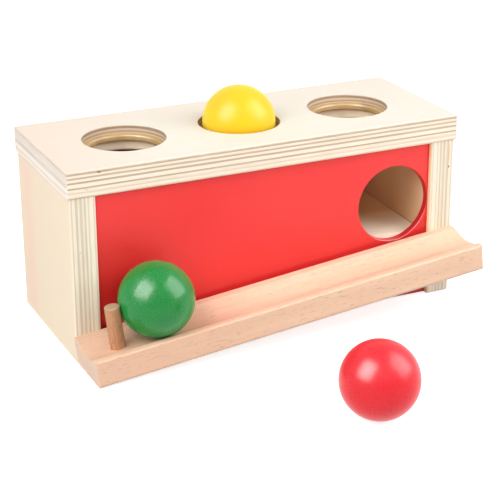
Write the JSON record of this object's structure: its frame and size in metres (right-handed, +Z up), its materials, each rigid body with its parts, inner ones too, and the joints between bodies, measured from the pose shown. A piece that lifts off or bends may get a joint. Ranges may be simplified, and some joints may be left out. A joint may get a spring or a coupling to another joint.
{
  "type": "object permanence box",
  "caption": "Wooden box with ringed holes in its lid: a ball pushed through rolls down a hidden ramp, out of the front and along a sloping track to a peg.",
  "frame": {"origin": "on the floor, under the middle of the whole set's bounding box, which runs from the back of the box to the front of the loose red ball", "axes": "+X along the box to the right as the exit hole's side is seen, +Y to the back, +Z up"},
  "size_m": [0.284, 0.2814, 0.1562],
  "materials": {
    "birch_plywood": "sanded birch plywood with a thin matt oil",
    "tan_rubber": "smooth tan rubber",
    "red_painted_board": "satin red paint",
    "thin_plywood": "sanded thin plywood",
    "beech": "sanded solid beech with a thin matt oil",
    "beech_dowel": "plain beech dowel",
    "green_lacquered_wood": "gloss green lacquer",
    "yellow_lacquered_wood": "gloss yellow lacquer",
    "red_lacquered_wood": "gloss red lacquer"
  },
  "bodies": {
    "box": {"lid_upper_board": "birch_plywood", "lid_lower_board": "birch_plywood", "ring_left": "tan_rubber", "ring_middle": "tan_rubber", "ring_right": "tan_rubber", "left_side": "birch_plywood", "right_side": "birch_plywood", "front_panel": "red_painted_board", "back_panel": "red_painted_board", "ramp": "thin_plywood", "track": "beech", "stop_peg": "beech_dowel", "lid_dowels_left": "beech_dowel", "lid_dowels_right": "beech_dowel", "track_dowel_left": "beech_dowel", "track_dowel_right": "beech_dowel"},
    "green_ball": {"ball_green": "green_lacquered_wood"},
    "yellow_ball": {"ball_yellow": "yellow_lacquered_wood"},
    "red_ball": {"ball_red": "red_lacquered_wood"}
  },
  "joints": [
    {"name": "green_ball_run", "type": "slide", "parent": "box", "child": "green_ball", "axis": [0.994, 0, 0.1091], "range_m": [0, 0.1884]},
    {"name": "yellow_ball_push", "type": "slide", "parent": "box", "child": "yellow_ball", "axis": [0, 0, 1], "range_m": [-0.0511, 0.06], "deforming": ["ring_middle"]},
    {"name": "red_ball_lift", "type": "slide", "parent": "box", "child": "red_ball", "axis": [0, 0, 1], "range_m": [0, 0.1]}
  ]
}
